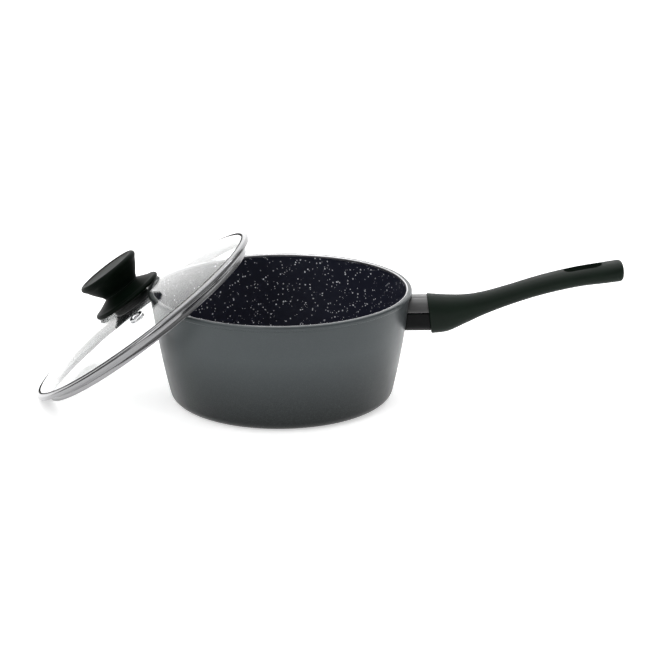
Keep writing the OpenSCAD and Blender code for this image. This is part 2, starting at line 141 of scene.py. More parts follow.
def lathe(name, outline, place=PAN, sides=192, zones=None, sharp=35):
    """Spins a closed outline, in millimetres, about the axis of place. zones gives each
    stretch of the outline the number of its material. Points at radius 0 close at the axis."""
    rings, vertices, faces, marks = [], [], [], []
    for r, h in outline:
        if r < 1e-6:
            rings.append([len(vertices)])
            vertices.append((0, 0, h * MM))
            continue
        rings.append(list(range(len(vertices), len(vertices) + sides)))
        for k in range(sides):
            t = 2 * math.pi * k / sides
            vertices.append((r * MM * math.cos(t), r * MM * math.sin(t), h * MM))
    for i, ring in enumerate(rings):
        after = rings[(i + 1) % len(rings)]
        mark = zones[i] if zones else 0
        if len(ring) == 1 and len(after) == 1:
            continue
        for k in range(sides):
            n = (k + 1) % sides
            if len(ring) == 1:
                face = (ring[0], after[n], after[k])
            elif len(after) == 1:
                face = (ring[k], ring[n], after[0])
            else:
                face = (ring[k], ring[n], after[n], after[k])
            faces.append(face)
            marks.append(mark)
    mesh = bpy.data.meshes.new(name)
    mesh.from_pydata(vertices, [], faces)
    mesh.polygons.foreach_set("material_index", marks)
    tidy = bmesh.new()
    tidy.from_mesh(mesh)
    bmesh.ops.recalc_face_normals(tidy, faces=tidy.faces)
    tidy.to_mesh(mesh)
    tidy.free()
    mesh.transform(place)
    return piece_from(name, mesh, sharp)


print("helpers: arc, through, piece_from, lathe")


# %% [markdown]
# ### Holes and joined parts
# On the real pieces a hole is drilled, or left by a core in the mould. Here one exact solid is taken
# from another or joined to it, so that the edge of every hole is a true edge all the way round.

# %% Cutting helper
def cut(piece, cutters, operation="DIFFERENCE"):
    """Cuts or joins exact solids, one after another, and keeps the result as the piece's mesh."""
    for cutter in cutters:
        change = piece.modifiers.new("cut", "BOOLEAN")
        change.operation = operation
        change.solver = "EXACT"
        change.object = cutter
    graph = bpy.context.evaluated_depsgraph_get()
    mesh = bpy.data.meshes.new_from_object(piece.evaluated_get(graph))
    piece.modifiers.clear()
    piece.data = mesh
    for cutter in cutters:
        bpy.data.objects.remove(cutter)
    return piece


print("helper: cut")


# %% [markdown]
# ## Finishes
# Each finish is a small node tree: one shader, and the textures that make it look like the real
# surface. A helper sets the constants, and a second one adds a fine bump.

# %% Material helpers
def new_finish(name, colour, roughness, metallic=0.0, **sockets):
    """A material with one Principled shader, and the tree and shader to build on."""
    material = bpy.data.materials.new(name)
    material.use_nodes = True
    tree = material.node_tree
    shader = tree.nodes["Principled BSDF"]
    shader.inputs["Base Color"].default_value = (*colour, 1)
    shader.inputs["Roughness"].default_value = roughness
    shader.inputs["Metallic"].default_value = metallic
    for socket, value in sockets.items():
        shader.inputs[socket.replace("_", " ")].default_value = value
    return material, tree, shader


def node(tree, kind, **values):
    """A node whose sockets or settings are given by name."""
    made = tree.nodes.new(kind)
    for key, value in values.items():
        label = key.replace("_", " ")
        if label in made.inputs:
            made.inputs[label].default_value = value
        else:
            setattr(made, key, value)
    return made


def noise(tree, scale, detail=2.0, roughness=0.5, coordinates=None):
    """Noise on the piece's own coordinates. The scale is in waves a metre."""
    made = node(tree, "ShaderNodeTexNoise", Scale=scale, Detail=detail, Roughness=roughness)
    if coordinates is None:
        coordinates = tree.nodes.new("ShaderNodeTexCoord").outputs["Object"]
    tree.links.new(coordinates, made.inputs["Vector"])
    return made.outputs["Fac"]


def remap(tree, value, low, high, from_low=0.0, from_high=1.0):
    """Stretches a texture's value to the range that a socket needs."""
    made = tree.nodes.new("ShaderNodeMapRange")
    made.inputs["From Min"].default_value = from_low
    made.inputs["From Max"].default_value = from_high
    made.inputs["To Min"].default_value = low
    made.inputs["To Max"].default_value = high
    tree.links.new(value, made.inputs["Value"])
    return made.outputs["Result"]


def mix_colours(tree, share, first, second):
    """Two colours, or colour outputs, mixed by a share."""
    made = node(tree, "ShaderNodeMix", data_type="RGBA")
    slots = [s for s in made.inputs if s.type == "RGBA"]
    for socket, colour in zip(slots, (first, second)):
        if isinstance(colour, tuple):
            socket.default_value = (*colour, 1)
        else:
            tree.links.new(colour, socket)
    tree.links.new(share, made.inputs["Factor"])
    return [s for s in made.outputs if s.type == "RGBA"][0]


def add_bump(tree, shader, height, distance, strength=1.0):
    """Turns a texture into a relief of a given height, in metres."""
    bump = node(tree, "ShaderNodeBump", Strength=strength, Distance=distance)
    tree.links.new(height, bump.inputs["Height"])
    tree.links.new(bump.outputs["Normal"], shader.inputs["Normal"])


print("helpers: new_finish, node, noise, remap, mix_colours, add_bump")


# %% [markdown]
# ### Lacquer of the pan
# The outside is sprayed with a dark grey lacquer that holds fine aluminium flakes, then baked. Flakes
# are cells under half a millimetre wide, each tipped its own way, so each changes the tone a little.
# A ramp on the height paints shade into the colour: the lacquer is made darker towards the base, standing
# in for the shade that the lower wall and the corner get. A slow noise varies the gloss, because sprayed
# lacquer is never quite even.

# %% Metallic lacquer
def height_ramp(tree, place, low, high):
    """0 at the height low and 1 at the height high, in metres."""
    parts = tree.nodes.new("ShaderNodeSeparateXYZ")
    tree.links.new(place, parts.inputs["Vector"])
    return remap(tree, parts.outputs["Z"], 0.0, 1.0, low, high)


def metallic_lacquer(name, painted_shade_tone, full, flake, roughness, low=-1.0, high=-0.9, gloss_coat=0.25):
    """Satin lacquer with fine metal flakes. Its colour goes from a painted shade tone at the height low
    to the tone full at the height high, so shade is painted in towards the base.
    """
    material, tree, shader = new_finish(name, full, roughness, 0.4, Coat_Weight=gloss_coat,
                                        Coat_Roughness=0.2, Specular_IOR_Level=2 * gloss_coat)
    place = tree.nodes.new("ShaderNodeTexCoord").outputs["Object"]
    # Painted shade: the ground colour darkens towards the base along the height ramp.
    ground = mix_colours(tree, height_ramp(tree, place, low, high), painted_shade_tone, full)
    flakes = node(tree, "ShaderNodeTexVoronoi", Scale=2600.0)
    tree.links.new(place, flakes.inputs["Vector"])
    grey = tree.nodes.new("ShaderNodeRGBToBW")
    tree.links.new(flakes.outputs["Color"], grey.inputs["Color"])
    share = remap(tree, grey.outputs["Val"], 0.0, 0.2, 0.5, 0.95)
    tree.links.new(mix_colours(tree, share, ground, flake), shader.inputs["Base Color"])
    gloss = noise(tree, 35.0, 3.0, 0.55, place)
    tree.links.new(remap(tree, gloss, roughness - 0.04, roughness + 0.06, 0.3, 0.7),
                   shader.inputs["Roughness"])
    add_bump(tree, shader, noise(tree, 900.0, 2.0, 0.5, place), 0.00001, 0.2)
    return material


# The pan's first colour is painted shade: the lacquer is near black at the base and ramps up to its own
# tone 60 mm higher.
pan_lacquer = metallic_lacquer("pan_lacquer", (0.008, 0.010, 0.010), (0.050, 0.058, 0.061),
                               (0.088, 0.098, 0.100), 0.36, 0.004, 0.060, gloss_coat=0.12)
guard_lacquer = metallic_lacquer("guard_lacquer", (0.07, 0.07, 0.07), (0.07, 0.07, 0.07),
                                 (0.12, 0.12, 0.125), 0.32)
# Painted shade: the same guard lacquer made near black, standing in for the shade on the guard's lower
# shell.
guard_painted_shade = metallic_lacquer("guard_painted_shade", (0.0015, 0.002, 0.002), (0.0015, 0.002, 0.002),
                              (0.006, 0.006, 0.006), 0.4, gloss_coat=0.05)
print("lacquers:", pan_lacquer.name, guard_lacquer.name, guard_painted_shade.name)


# %% [markdown]
# ### Speckled non-stick coating
# Inside, a blue-black coating carries drops of white and grey, spattered on before the last layer.
# Drops are the middles of scattered cells: one layer of small ones and one of larger, rarer ones. Only
# some cells hold a drop, and a noise bends their edges, so that no two drops are alike.

# %% Speckled coating
def drops(tree, place, scale, size, share, seed):
    """A mask of drops: 1 in a drop and 0 outside."""
    wobble = node(tree, "ShaderNodeTexNoise", Scale=scale * 1.7, Detail=1.0)
    tree.links.new(place, wobble.inputs["Vector"])
    centred = node(tree, "ShaderNodeVectorMath", operation="SUBTRACT")
    tree.links.new(wobble.outputs["Color"], centred.inputs[0])
    centred.inputs[1].default_value = (0.5, 0.5, 0.5)
    bend = node(tree, "ShaderNodeVectorMath", operation="SCALE")
    tree.links.new(centred.outputs["Vector"], bend.inputs[0])
    bend.inputs["Scale"].default_value = 0.3 / scale
    bent = node(tree, "ShaderNodeVectorMath", operation="ADD")
    tree.links.new(place, bent.inputs[0])
    tree.links.new(bend.outputs["Vector"], bent.inputs[1])
    moved = node(tree, "ShaderNodeVectorMath", operation="ADD")
    tree.links.new(bent.outputs["Vector"], moved.inputs[0])
    moved.inputs[1].default_value = seed
    cells = node(tree, "ShaderNodeTexVoronoi", Scale=scale)
    tree.links.new(moved.outputs["Vector"], cells.inputs["Vector"])
    parts = tree.nodes.new("ShaderNodeSeparateColor")
    tree.links.new(cells.outputs["Color"], parts.inputs["Color"])
    width = remap(tree, parts.outputs["Red"], 0.25 * size, size)
    inside = node(tree, "ShaderNodeMath", operation="LESS_THAN")
    tree.links.new(cells.outputs["Distance"], inside.inputs[0])
    tree.links.new(width, inside.inputs[1])
    held = node(tree, "ShaderNodeMath", operation="LESS_THAN")
    tree.links.new(parts.outputs["Green"], held.inputs[0])
    held.inputs[1].default_value = share
    both = node(tree, "ShaderNodeMath", operation="MULTIPLY")
    tree.links.new(inside.outputs["Value"], both.inputs[0])
    tree.links.new(held.outputs["Value"], both.inputs[1])
    tone = node(tree, "ShaderNodeMath", operation="MULTIPLY")
    tree.links.new(both.outputs["Value"], tone.inputs[0])
    tree.links.new(remap(tree, parts.outputs["Blue"], 0.3, 1.3), tone.inputs[1])
    return tone.outputs["Value"]


def speckled_coating():
    """The blue-black coating with its small and its large drops."""
    ground, spots = (0.014, 0.0155, 0.028), (0.95, 0.96, 1.0)
    material, tree, shader = new_finish("speckled_coating", ground, 0.36, Specular_IOR_Level=0.3)
    place = tree.nodes.new("ShaderNodeTexCoord").outputs["Object"]
    small = drops(tree, place, 480.0, 0.32, 0.55, (0.0, 0.0, 0.0))
    large = drops(tree, place, 200.0, 0.17, 0.40, (0.31, 0.17, 0.23))
    most = node(tree, "ShaderNodeMath", operation="MAXIMUM")
    tree.links.new(small, most.inputs[0])
    tree.links.new(large, most.inputs[1])
    tree.links.new(mix_colours(tree, most.outputs["Value"], ground, spots),
                   shader.inputs["Base Color"])
    add_bump(tree, shader, noise(tree, 700.0, 2.0, 0.5, place), 0.00002, 0.3)
    return material


coating = speckled_coating()
print("coating:", coating.name)


# %% [markdown]
# ### Turned and polished metals
# A turned rim and a spun band carry marks that run round their own axis. They are a wave in the
# distance from that axis, broken up by a little noise: a bump for the light and a change of gloss.

# %% Metals
def spun_metal(name, colour, roughness, pitch, place=PAN, depth=0.000004, spread=0.05):
    """Metal with fine marks round an axis. pitch is the distance between marks, in metres."""
    material, tree, shader = new_finish(name, colour, roughness, 1.0)
    world = tree.nodes.new("ShaderNodeTexCoord").outputs["Object"]
    turn = node(tree, "ShaderNodeMapping", vector_type="TEXTURE")
    turn.inputs["Location"].default_value = place.to_translation()
    turn.inputs["Rotation"].default_value = place.to_euler()
    tree.links.new(world, turn.inputs["Vector"])
    flat = tree.nodes.new("ShaderNodeSeparateXYZ")
    tree.links.new(turn.outputs["Vector"], flat.inputs["Vector"])
    plane = tree.nodes.new("ShaderNodeCombineXYZ")
    tree.links.new(flat.outputs["X"], plane.inputs["X"])
    tree.links.new(flat.outputs["Y"], plane.inputs["Y"])
    radius = node(tree, "ShaderNodeVectorMath", operation="LENGTH")
    tree.links.new(plane.outputs["Vector"], radius.inputs[0])
    rings = tree.nodes.new("ShaderNodeCombineXYZ")
    tree.links.new(radius.outputs["Value"], rings.inputs["X"])
    tree.links.new(flat.outputs["Z"], rings.inputs["Y"])
    marks = noise(tree, 1.0 / pitch, 3.0, 0.6, rings.outputs["Vector"])
    tree.links.new(remap(tree, marks, roughness - spread, roughness + spread, 0.3, 0.7),
                   shader.inputs["Roughness"])
    add_bump(tree, shader, marks, depth, 0.6)
    return material


bare_rim = spun_metal("bare_rim", (0.62, 0.62, 0.63), 0.34, 0.0006)
plate_steel = spun_metal("plate_steel", (0.52, 0.52, 0.53), 0.32, 0.0009)
band_steel = spun_metal("band_steel", (0.245, 0.245, 0.25), 0.17, 0.0007, LID, 0.000002, 0.03)
small_steel = spun_metal("small_steel", (0.6, 0.6, 0.61), 0.22, 0.0005)
small_chrome = spun_metal("small_chrome", (0.75, 0.75, 0.76), 0.1, 0.0004, PAN, 0.000001, 0.03)
stud_metal = spun_metal("stud_metal", (0.55, 0.56, 0.57), 0.3, 0.0006)
brass = spun_metal("brass", (0.65, 0.45, 0.18), 0.25, 0.0005)
metals = (bare_rim, plate_steel, band_steel, small_steel, small_chrome, stud_metal, brass)
print("metals:", ", ".join(metal.name for metal in metals))


# %% [markdown]
# ### Mouldings, silicone and glass
# The handle and the knob are moulded in a hard black resin with a soft-touch coat. Its grain is a fine
# noise, deep enough to spread the light and too fine to see as dots. Silicone is smoother and blacker.
# The glass is one clear shader with a very faint waviness: its colour comes from what is behind it and
# from what it mirrors. A dull black finish paints shade along the inner edge of the band's lip, where the
# lip meets the glass.

# %% Plastics and glass
def moulded(name, colour, roughness, grain=1500.0, depth=0.00003, **sockets):
    """A moulded black part with an even, fine grain and slightly uneven gloss."""
    material, tree, shader = new_finish(name, colour, roughness, **sockets)
    place = tree.nodes.new("ShaderNodeTexCoord").outputs["Object"]
    cloud = noise(tree, 60.0, 3.0, 0.5, place)
    lighter = tuple(1.25 * c for c in colour)
    tree.links.new(mix_colours(tree, remap(tree, cloud, 0.0, 1.0, 0.35, 0.65), colour, lighter),
                   shader.inputs["Base Color"])
    tree.links.new(remap(tree, cloud, roughness - 0.04, roughness + 0.04, 0.3, 0.7),
                   shader.inputs["Roughness"])
    add_bump(tree, shader, noise(tree, grain, 2.0, 0.6, place), depth, 0.25)
    return material


soft_touch = moulded("soft_touch", (0.0030, 0.0072, 0.0042), 0.5, Specular_IOR_Level=0.12)
knob_touch = moulded("knob_touch", (0.0010, 0.0028, 0.0015), 0.5, Specular_IOR_Level=0.05)
cup_plastic = moulded("cup_plastic", (0.010, 0.010, 0.010), 0.35)
silicone = moulded("silicone", (0.02, 0.02, 0.02), 0.55)
# Painted shade: a dull black finish for the shadow line where the band's lip meets the glass.
lip_painted_shade = moulded("lip_painted_shade", (0.004, 0.004, 0.004), 0.7, Specular_IOR_Level=0.05)


def clear_glass():
    """Tempered glass, faintly wavy, as heating leaves it."""
    material, tree, shader = new_finish("clear_glass", (0.985, 0.995, 0.99), 0.0,
                                        Transmission_Weight=1.0, IOR=1.5)
    place = tree.nodes.new("ShaderNodeTexCoord").outputs["Object"]
    add_bump(tree, shader, noise(tree, 30.0, 1.0, 0.5, place), 0.00006, 0.5)
    return material


glass = clear_glass()
print("finishes", sorted(m.name for m in bpy.data.materials))


def dress(piece, materials, body, slot, *nodes):
    """Gives a piece its finishes and its body, and says which nodes it stands for."""
    for material in materials if isinstance(materials, (list, tuple)) else [materials]:
        piece.data.materials.append(material)
    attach(piece, body)
    if nodes:
        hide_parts(*nodes)
    print(piece.name, len(piece.data.vertices), "points, stands for", nodes or "nothing")
    return piece


# %% [markdown]
# ## The pan
# The real pan is pressed from one disc of aluminium: a flat base, a rounded corner, a wall that opens
# and bows slightly, and a thickened rim. One outline spun about Z gives all of it, because a pressed pan
# is round everywhere. The outline has three stretches, and each has its own finish: lacquer up to the
# top of the rim, a thin bare line where the mouth was turned clean, and the coating inside.

# %% Pan
mouth_r = 99.6
wall_t = 2.6
rim_r = rim_out / MM
height = pan_h / MM
rim_h = 4.0
base_r = 79.0
base_z = 0.5
plate_r = 70.0
corner_w, corner_h, corner_end = 10.5, 9.0, 76
belly = 1.4
floor_t = 4.0
recess_h, recess_r = 1.2, plate_r + 0.1
wall_top = height - rim_h
wall_top_r = mouth_r + wall_t


def wall_line(inset, lift, steps=40):
    """The corner and the wall, moved inwards by inset and up by lift at the base."""
    corner = arc(base_r, base_z + corner_h + lift, corner_w - inset, corner_h,
                 -90, corner_end - 90, 14)
    start_r = base_r + corner_w * math.sin(math.radians(corner_end))
    start_z = base_z + corner_h * (1 - math.cos(math.radians(corner_end)))
    wall = []
    for i in range(1, steps + 1):
        t = i / steps
        r = start_r + (wall_top_r - start_r) * t + belly * 4 * t * (1 - t)
        wall.append((r - inset, start_z + (wall_top - start_z) * t + lift * (1 - t)))
    return corner + wall


outside = [(0, recess_h), (recess_r, recess_h), (recess_r, 0.8), (plate_r + 0.4, base_z)]
outside += wall_line(0, 0)
bead = (
    arc(rim_r - 1.2, wall_top + 1.1, 1.2, 0.9, -80, 0, 6)
    + arc(rim_r - 1.6, height - 1.6, 1.6, 1.6, 0, 90, 9)
    + arc(mouth_r + 1.0, height - 1.0, 1.0, 1.0, 90, 180, 7)
    + [(mouth_r, height - 2.2)]
)
inside = wall_line(wall_t, floor_t)[::-1] + [(0, base_z + floor_t)]
outline = outside + bead + inside
bare_steps = 8
lacquer_steps = len(outside) + len(bead) - 1 - bare_steps
zones = [0] * lacquer_steps + [1] * bare_steps + [2] * (len(inside) + 1)
pan = lathe("pan", outline, sides=256, zones=zones, sharp=50)
dress(pan, [pan_lacquer, bare_rim, coating], "pan", "pan_lacquer", "pan_body")


# %% [markdown]
# ## The lid's glass
# The glass is a shallow dome with a flat in the middle for the knob and a ground edge that sits in the
# band. Both of its faces are parts of spheres about one point, so that it is equally thick. Two round
# holes go through it. The outline starts at the edge of the middle hole; the vent hole is cut last.

# %% Glass
dome_top, glass_edge, land_r, glass_t = 16.6, -0.6, 17.0, 3.2
glass_r, knob_hole_r = 104.2, 4.5
seat_h = -3.1
dome_k = ((dome_top ** 2 + land_r ** 2 - glass_edge ** 2 - glass_r ** 2)
          / (2 * (dome_top - glass_edge)))
dome_R = math.hypot(dome_top - dome_k, land_r)
under_R = dome_R - glass_t


def dome_h(r, R=dome_R):
    """Height of the dome at the radius r, for a face that is part of a sphere of radius R."""
    return dome_k + math.sqrt(R * R - r * r)


seat_in_r = math.sqrt(under_R ** 2 - (seat_h - dome_k) ** 2)
top_line = [(r, dome_h(r)) for r in np.linspace(land_r, glass_r - 0.5, 60)]
under_line = [(r, dome_h(r, under_R)) for r in np.linspace(seat_in_r, land_r, 60)]
glass_outline = (
    [(knob_hole_r, dome_top)] + top_line
    + [(glass_r, dome_h(glass_r) - 0.3), (glass_r, seat_h + 0.4), (glass_r - 0.4, seat_h)]
    + under_line + [(knob_hole_r, dome_h(land_r, under_R))]
)
lid_glass = lathe("lid_dome", glass_outline, LID, sides=256, sharp=40)
print("dome radius", round(dome_R, 2), "points before the vent's hole", len(lid_glass.data.vertices))


# %% [markdown]
# ## The lid's steel band
# The band is a strip of stainless steel rolled round the edge of the glass. It laps over the glass,
# rolls down over its edge, runs in under the flange, and ends in a skirt with a folded hem. Its outline
# is the sheet's own section, so the outside and the inside of the sheet are both real surfaces.

# %% Band
flange_r, band_t = 106.0, 0.5
lip_in_r = glass_r - 3.0
roll_h, roll_top, roll_low = -1.75, -0.05, 0.8
web_h = seat_h - band_t
skirt_top_r, skirt_low_r, skirt_low_h = 98.6, 98.1, -10.3
hem_w = 1.1
lip_h = dome_h(lip_in_r)
lip_shade_end_r = lip_in_r + 1.2
band_outline = (
    [(lip_in_r + 0.15, lip_h + 0.03), (lip_in_r, lip_h + 0.2)]
    + arc(lip_in_r + 0.2, lip_h + 0.35, 0.2, 0.2, 180, 90, 4)
    + [(lip_shade_end_r, dome_h(lip_shade_end_r) + 0.62)]
    + arc(glass_r, roll_h, flange_r - glass_r, roll_top - roll_h, 88, 0, 12)
    + arc(flange_r - roll_low, web_h + roll_low, roll_low, roll_low, 0, -90, 8)
    + arc(skirt_top_r + 0.6, web_h - 0.6, 0.6, 0.6, 90, 175, 5)
    + [(skirt_top_r - 0.12, web_h - 2.6), (skirt_top_r - 0.5, web_h - 2.9),
       (skirt_top_r - 0.5, web_h - 3.2), (skirt_top_r - 0.2, web_h - 3.5),
       (skirt_low_r + 0.02, skirt_low_h + 0.5)]
    + arc(skirt_low_r - hem_w / 2, skirt_low_h + band_t, hem_w / 2, band_t, 0, -180, 10)
    + [(skirt_low_r - band_t - 0.05, skirt_low_h + band_t + 0.1),
       (skirt_top_r - band_t - 0.3, web_h - 3.5),
       (skirt_top_r - band_t - 0.5, web_h - 3.2), (skirt_top_r - band_t - 0.45, web_h - 2.8),
       (skirt_top_r - band_t, web_h - 2.0), (skirt_top_r - band_t, seat_h - 0.02)]
    + arc(flange_r - roll_low, web_h + roll_low, roll_low - band_t, roll_low - band_t, -90, 0, 5)
    + arc(glass_r, roll_h, flange_r - glass_r - band_t, roll_top - roll_h - band_t,
          0, 88, 8)
)
# The first stretch of the lip takes the dull black finish, which is painted shade where the lip meets the
# glass.
lip_shade_points = 7
band_zones = [1] * lip_shade_points + [0] * (len(band_outline) - lip_shade_points)
band = lathe("lid_band_rolled", band_outline, LID, sides=288, zones=band_zones, sharp=55)
dress(band, [band_steel, lip_painted_shade], "lid", "polished_steel", "lid_band")


# %% [markdown]
# ## The steam vent
# A small eyelet is pushed through a hole in the glass and flared over a ring underneath, as in canvas.
# Its own axis is square to the dome where it sits, so it gets a placing of its own, and its flange is
# drawn as one rolled curve, because that roll is what shines.

# %% Vent
vent_r, vent_dir = 68.0, -76.0
vent_lean = math.asin(vent_r / dome_R)
VENT = (
    LID
    @ Matrix.Rotation(math.radians(vent_dir), 4, "Z")
    @ Matrix.Translation(Vector((0, 0, dome_k * MM)))
    @ Matrix.Rotation(vent_lean, 4, "Y")
    @ Matrix.Translation(Vector((0, 0, dome_R * MM)))
)
eyelet_r, hole_r, steam_r, eyelet_t = 5.9, 3.8, 2.4, 0.9
ring_low = -glass_t - 0.97
eyelet_outline = (
    arc(eyelet_r - 0.5, 0.42, 0.5, 0.44, -80, 90, 8)
    + arc(steam_r + 1.3, 0.0, 1.3, 0.86, 90, 180, 8)
    + [(steam_r, ring_low), (steam_r + 0.1, ring_low - 0.35)]
    + arc(hole_r + 0.45, ring_low - 0.2, 0.35, 0.3, -90, 0, 5)
    + [(hole_r + 0.8, ring_low), (hole_r, ring_low), (hole_r, -0.02)]
)
drill_r = hole_r + 0.03
drill = lathe("drill", [(0, -6), (drill_r, -6), (drill_r, 3), (0, 3)], VENT, sides=72)
cut(lid_glass, [drill])
lid_glass.data.polygons.foreach_set("use_smooth", [True] * len(lid_glass.data.polygons))
lid_glass.data.set_sharp_from_angle(angle=math.radians(40))
dress(lid_glass, glass, "lid", "glass", "lid_glass")
eyelet = lathe("vent_eyelet_rolled", eyelet_outline, VENT, sides=72)
dress(eyelet, small_chrome, "lid", "polished_steel", "vent_eyelet")
vent_backing = (
    arc(eyelet_r - 0.25, ring_low + 0.25, 0.25, 0.25, -90, 0, 4)
    + [(eyelet_r, ring_low + eyelet_t - 0.1), (eyelet_r - 0.1, ring_low + eyelet_t)]
    + [(hole_r + 0.02, ring_low + eyelet_t), (hole_r + 0.02, ring_low)]
)
backing = lathe("vent_backing_ring", vent_backing, VENT, sides=72)
dress(backing, small_chrome, "lid", "polished_steel", "vent_ring")


# %% [markdown]
# ## The knob
# The knob is two mouldings. The cap is a cone that opens upwards to a slightly dished top with a rounded
# rim. The skirt under it flares out over the glass. They meet at the waist in a fine groove. Both are
# drawn with smooth curves through a few points, as a moulder's drawing would give them.

# %% Knob
gasket_r = 13.5
boss_h = dome_top + 1.0
waist_h = dome_top + 9.7
cap_top = waist_h + 18.6
knob_r, waist_r, skirt_r = 26.2, 15.2, 29.9
spigot_r, insert_r = 7.0, 4.0
spigot_low, insert_top = boss_h + 1.5, waist_h + 6.0
edge_r, foot_h = 1.9, dome_h(skirt_r - 1.9) + 0.25
cap_round, dish = 2.6, 0.9
cap_outline = (
    [(0, cap_top - dish), (12, cap_top - dish), (knob_r - 6.2, cap_top - dish + 0.03)]
    + through([(knob_r - 5.2, cap_top - dish + 0.12), (knob_r - 4.3, cap_top - 0.45),
               (knob_r - 3.4, cap_top - 0.12)], 5)
    + arc(knob_r - cap_round, cap_top - cap_round, cap_round, cap_round, 97, -32, 14)
    + through([(knob_r - 2.3, cap_top - 6.2), (knob_r - 4.7, cap_top - 10.1),
               (waist_r + 3.0, waist_h + 4.1), (waist_r + 0.9, waist_h + 1.3)], 8)
    + arc(waist_r + 0.1, waist_h + 0.75, 0.75, 0.75, 20, -90, 5)
    + [(waist_r - 0.35, waist_h), (spigot_r, waist_h), (spigot_r, spigot_low),
       (insert_r, spigot_low), (insert_r, insert_top), (0, insert_top)]
)
cap = lathe("knob_cap_moulded", cap_outline, LID, sides=144, sharp=45)
dress(cap, knob_touch, "lid", "soft_touch", "knob_cap")
flare = skirt_r - waist_r
fall = waist_h - foot_h - 2 * edge_r
skirt_outline = (
    [(spigot_r + 0.05, waist_h - 0.02), (waist_r - 0.5, waist_h - 0.02)]
    + arc(waist_r - 0.5, waist_h - 0.5, 0.5, 0.48, 90, 10, 4)
    + through([(waist_r + 0.1, waist_h - 0.9), (waist_r + 0.29 * flare, waist_h - 0.46 * fall),
               (waist_r + 0.7 * flare, waist_h - 0.88 * fall),
               (skirt_r - edge_r + 0.6, foot_h + 1.94 * edge_r)], 9)
    + arc(skirt_r - edge_r, foot_h + edge_r, edge_r, edge_r, 66, -90, 14)
    + [(skirt_r - 2 * edge_r, foot_h + 0.6 * edge_r), (gasket_r + 2.5, waist_h - 0.85 * fall),
       (gasket_r, boss_h + 1.4), (gasket_r, boss_h + 0.02), (spigot_r + 0.05, boss_h + 0.02)]
)
skirt = lathe("knob_skirt_moulded", skirt_outline, LID, sides=144, sharp=45)
dress(skirt, knob_touch, "lid", "soft_touch", "knob_skirt")


# %% [markdown]
# ## The cup under the glass
# A moulded cup clamps the glass from below. It has a rounded edge, a shallow groove near that edge, and
# a well in the middle that hides the head of the screw.

# %% Cup
cup_r, cup_t, cup_round = 16.0, 5.0, 1.5
under_top = dome_h(land_r, under_R)
cup_top = under_top - 1.0
cup_low = cup_top - cup_t
screw_way_r, well_r, well_deep = 2.8, 7.0, 3.8
groove = [(11.2, 0), (11.5, 0.35), (12.1, 0.35), (12.4, 0)]
cup_outline = (
    [(screw_way_r, cup_low + well_deep), (6.9, cup_low + well_deep)]
    + [(well_r, cup_low + 3.7), (well_r, cup_low + 0.4)]
    + arc(7.4, cup_low + 0.4, 0.4, 0.4, 180, 270, 4)
    + [(r, cup_low + h) for r, h in groove]
    + arc(cup_r - cup_round, cup_low + cup_round, cup_round, cup_round, -90, 0, 10)
    + arc(cup_r - 0.3, cup_top - 0.3, 0.3, 0.3, 0, 90, 3)
    + [(screw_way_r, cup_top)]
)
cup = lathe("clamp_cup", cup_outline, LID, sides=96, sharp=40)
dress(cup, cup_plastic, "lid", "black_plastic", "cup")


# %% [markdown]
# ## The handle
# The handle is one moulding: deep and upright where it meets the guard, then a slimmer grip that rises,
# widens and ends in a soft round. Stations along it give its height, rise and width, a smooth curve runs
# through them, and each ring is a rounded rectangle. The slot and the screw's well are cut afterwards.
# The slot's cutter opens out at both ends, so the slot gets rounded lips that a thumb can feel.

# %% Handle stations
def wall_r(z):
    """Radius of the outside of the wall at the height z, in millimetres."""
    start_r = base_r + corner_w * math.sin(math.radians(corner_end))
    start_z = base_z + corner_h * (1 - math.cos(math.radians(corner_end)))
    t = (z - start_z) / (wall_top - start_z)
    return start_r + (wall_top_r - start_r) * t + belly * 4 * t * (1 - t)


handle_z, handle_l, handle_rise = 68.9, 152.8, 34.4
guard_l = 17.2
handle_x = wall_r(handle_z) + guard_l
handle_mid = handle_z - 0.7
front_tan = math.tan(math.radians(7))
front_h, front_w, grip_h, grip_w = 15.7, 15.0, 7.3, 13.0
stations = np.array([
    (0, 0, front_h, front_w), (0.093, 0.01, front_h - 1.4, front_w - 0.8),
    (0.193, 0.11, front_h - 4.65, front_w - 2.7), (0.291, 0.25, grip_h + 1.5, grip_w - 2),
    (0.413, 0.435, grip_h + 0.4, grip_w - 2), (0.536, 0.614, grip_h + 0.1, grip_w - 1.5),
    (0.658, 0.761, grip_h, grip_w - 0.8), (0.78, 0.876, grip_h, grip_w - 0.2),
    (0.902, 0.954, grip_h + 0.4, grip_w), (0.972, 1, grip_h + 0.7, grip_w - 0.4)])


def handle_at(share):
    """Rise share, half height and half width at a share of the handle's length."""
    last = len(stations) - 1
    i = min(last - 1, max(0, int(np.searchsorted(stations[:, 0], share, side="right")) - 1))
    a, b, c, d = (stations[max(0, min(last, k))] for k in (i - 1, i, i + 1, i + 2))
    u = (share - b[0]) / (c[0] - b[0])
    for _ in range(4):
        x = 0.5 * (2 * b[0] + (c[0] - a[0]) * u
                   + (2 * a[0] - 5 * b[0] + 4 * c[0] - d[0]) * u * u
                   + (3 * b[0] - a[0] - 3 * c[0] + d[0]) * u ** 3)
        u += (share - x) / (c[0] - b[0])
    return (0.5 * (2 * b + (c - a) * u + (2 * a - 5 * b + 4 * c - d) * u * u
                   + (3 * b - a - 3 * c + d) * u ** 3))[1:]


print("handle at its middle", np.round(handle_at(0.5), 3))


# %% [markdown]
# ### The body of the handle
# The real handle comes out of a mould in one shot. Here its rings are skinned into one closed shape.
# Four small rings round its front edge, and eleven that shrink give it a soft far end, because a
# moulding has no sharp ends.

# %% Handle body
squareness = 2 / 2.4


